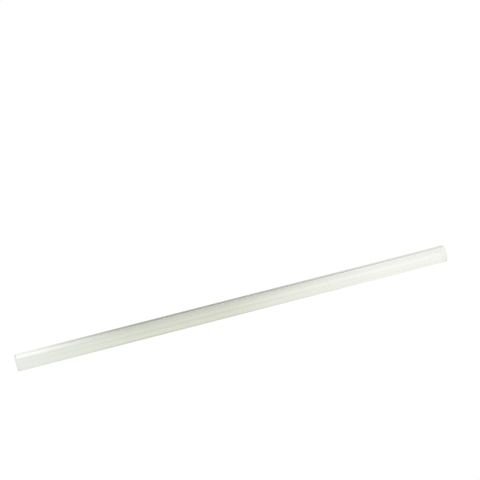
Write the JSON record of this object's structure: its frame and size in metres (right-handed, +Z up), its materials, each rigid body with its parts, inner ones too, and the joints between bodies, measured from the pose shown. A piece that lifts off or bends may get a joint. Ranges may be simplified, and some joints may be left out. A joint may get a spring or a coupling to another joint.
{
  "type": "glass straw",
  "caption": "Straight clear glass drinking straw: a thin-walled open tube with rounded, fire-polished rims.",
  "frame": {"origin": "under the middle of the straw, on the surface that it lies on", "axes": "+X along the straw's axis, +Z up"},
  "size_m": [0.21, 0.008, 0.008],
  "materials": {
    "clear_glass": "polished clear glass, very faintly green"
  },
  "bodies": {
    "root": {"straw": "clear_glass"}
  },
  "joints": []
}
